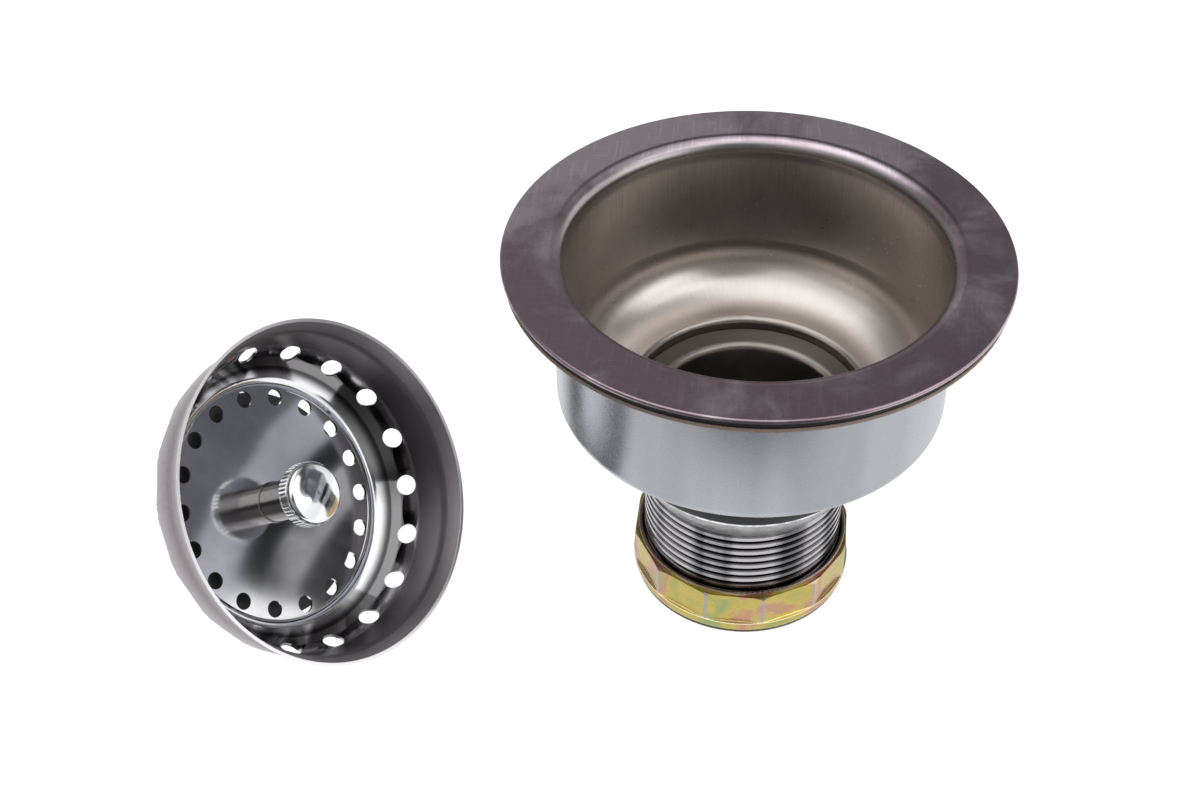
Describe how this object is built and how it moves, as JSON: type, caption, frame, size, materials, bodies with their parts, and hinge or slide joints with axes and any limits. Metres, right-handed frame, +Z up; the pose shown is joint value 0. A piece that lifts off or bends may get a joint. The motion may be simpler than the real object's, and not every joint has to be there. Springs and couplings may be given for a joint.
{
  "type": "basket strainer waste",
  "caption": "Kitchen sink basket strainer waste with a drawn steel bowl, clamped flange seals, a threaded tail piece and slip nut, and its lift-out perforated basket lying beside it.",
  "frame": {"origin": "centre of the slip nut's lower face, on the axis of the waste, at floor level", "axes": "+Z up along the axis of the waste; the lift-out basket lies on the floor towards -X"},
  "size_m": [0.1962, 0.122, 0.0974],
  "materials": {
    "bowl_steel": "satin",
    "black_rubber": "matt",
    "fibre": "matt fibre",
    "blue_zinc": "blue zinc plated, satin",
    "cast_zinc": "satin casting",
    "stamped_steel": "satin",
    "plated_casting": "plated",
    "nylon": "matt",
    "yellow_zinc": "yellow zinc plated, iridescent",
    "polished_steel": "polished inside, satin outside",
    "chrome_plate": "polished",
    "tip_plastic": "matt"
  },
  "bodies": {
    "waste": {"flange_bowl": "bowl_steel", "sealing_gasket": "black_rubber", "friction_ring": "fibre", "locking_cup": "blue_zinc", "outlet_spigot": "cast_zinc", "spigot_seal": "black_rubber", "post_guide": "stamped_steel", "tail_piece": "plated_casting", "basket_shell": "polished_steel", "basket_post": "chrome_plate", "knob": "chrome_plate", "basket_stopper": "black_rubber", "stopper_washer": "stamped_steel", "stopper_nut": "stamped_steel", "post_tip": "tip_plastic"},
    "washer": {"slip_washer": "nylon"},
    "nut": {"slip_nut": "yellow_zinc"}
  },
  "joints": [
    {"name": "nut_travel", "type": "slide", "parent": "waste", "child": "washer", "axis": [0, 0, 1], "range_m": [-0.00693, 0]},
    {"name": "nut_turn", "type": "hinge", "parent": "washer", "child": "nut", "pos_m": [0, 0, 0.0075], "axis": [0, 0, 1], "range_deg": [-1080, 0]}
  ],
  "couplings": [
    {"joint": "nut_travel", "follows": "nut_turn", "m_per_rad": 0.0003675}
  ]
}
